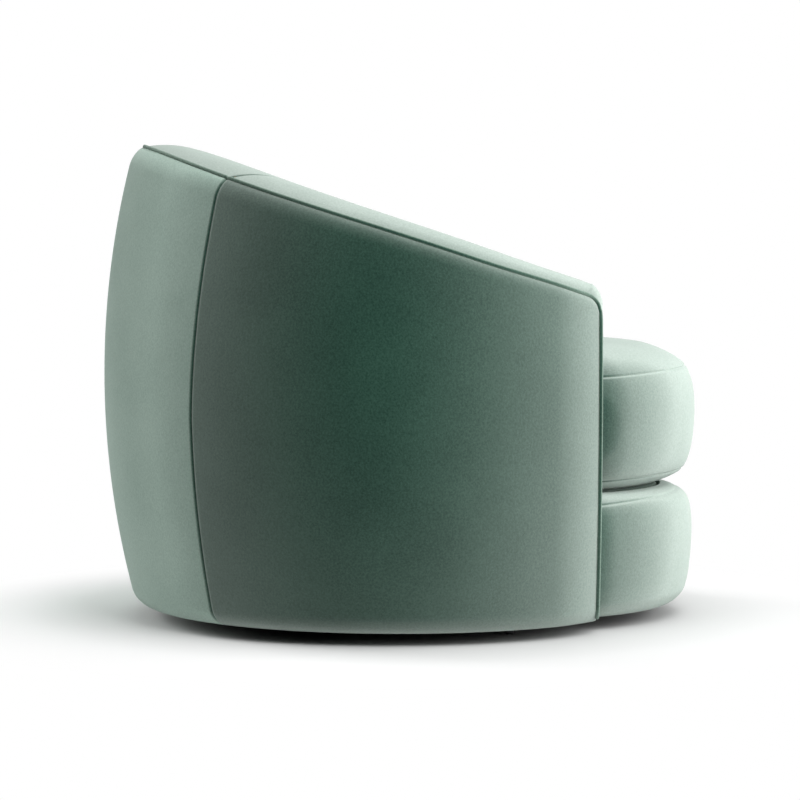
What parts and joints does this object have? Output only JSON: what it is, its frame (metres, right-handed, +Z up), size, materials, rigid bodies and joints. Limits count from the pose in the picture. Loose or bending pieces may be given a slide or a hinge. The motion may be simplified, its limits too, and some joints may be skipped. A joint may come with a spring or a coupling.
{
  "type": "upholstered barrel swivel chair",
  "caption": "Round upholstered barrel armchair on a hidden swivel base, with a sloping piped top band and a loose, crowned seat cushion.",
  "frame": {"origin": "on the floor, under the swivel axis, at the middle of the box", "axes": "+Z up along the swivel axis, -Y the way the sitter faces, +X to the sitter's left"},
  "size_m": [0.8998, 0.9, 0.7198],
  "materials": {
    "velvet": "soft pile velvet",
    "piping_velvet": "velvet over cord",
    "foam": "open-cell foam",
    "plywood": "bare plywood",
    "webbing": "woven elastic",
    "lining": "thin woven lining",
    "black_steel": "black powder coat",
    "bright_steel": "zinc plated",
    "spring_steel": "oiled",
    "black_plastic": "moulded"
  },
  "bodies": {
    "base": {"base_long_tube": "black_steel", "base_rear_tube": "black_steel", "base_front_tube": "black_steel", "base_hub_plate": "black_steel", "tube_end_caps": "black_plastic", "glide_feet": "black_plastic", "lower_race_plate": "bright_steel", "lower_plate_screws": "bright_steel", "pivot_pin": "bright_steel", "pivot_washer": "bright_steel", "pivot_nut": "bright_steel"},
    "cage": {"ball_cage": "black_plastic", "bearing_balls": "bright_steel"},
    "chair": {"rear_outer_panel": "velvet", "right_outer_panel": "velvet", "left_outer_panel": "velvet", "back_top_band": "velvet", "right_arm_band": "velvet", "left_arm_band": "velvet", "inner_back_pad": "velvet", "right_inner_arm_pad": "velvet", "left_inner_arm_pad": "velvet", "front_rail_cover": "velvet", "outer_piping": "piping_velvet", "front_rail_foam": "foam", "deck_pad": "foam", "top_rail": "plywood", "rear_centre_rib": "plywood", "right_rear_rib": "plywood", "left_rear_rib": "plywood", "right_side_rib": "plywood", "left_side_rib": "plywood", "right_front_post": "plywood", "left_front_post": "plywood", "bottom_board": "plywood", "seat_board": "plywood", "front_rail_board": "plywood", "mounting_board": "plywood", "back_webbing": "webbing", "dust_cover": "lining", "upper_race_plate": "bright_steel", "plate_bolts": "bright_steel", "tee_nuts": "bright_steel", "board_screws": "bright_steel", "seat_springs": "spring_steel", "pivot_bush": "black_plastic", "spring_clips": "black_plastic"},
    "cushion": {"seat_cushion_cover": "velvet", "seat_cushion_core": "foam"}
  },
  "joints": [
    {"name": "swivel", "type": "hinge", "parent": "base", "child": "chair", "pos_m": [0, 0, 0.04], "axis": [0, 0, 1], "continuous": true},
    {"name": "cage_turn", "type": "hinge", "parent": "base", "child": "cage", "pos_m": [0, 0, 0.04], "axis": [0, 0, 1], "continuous": true},
    {"name": "cushion_lift", "type": "slide", "parent": "chair", "child": "cushion", "axis": [0, 0, 1], "range_m": [0, 0.56]}
  ],
  "couplings": [
    {"joint": "cage_turn", "follows": "swivel", "ratio": 0.5}
  ]
}
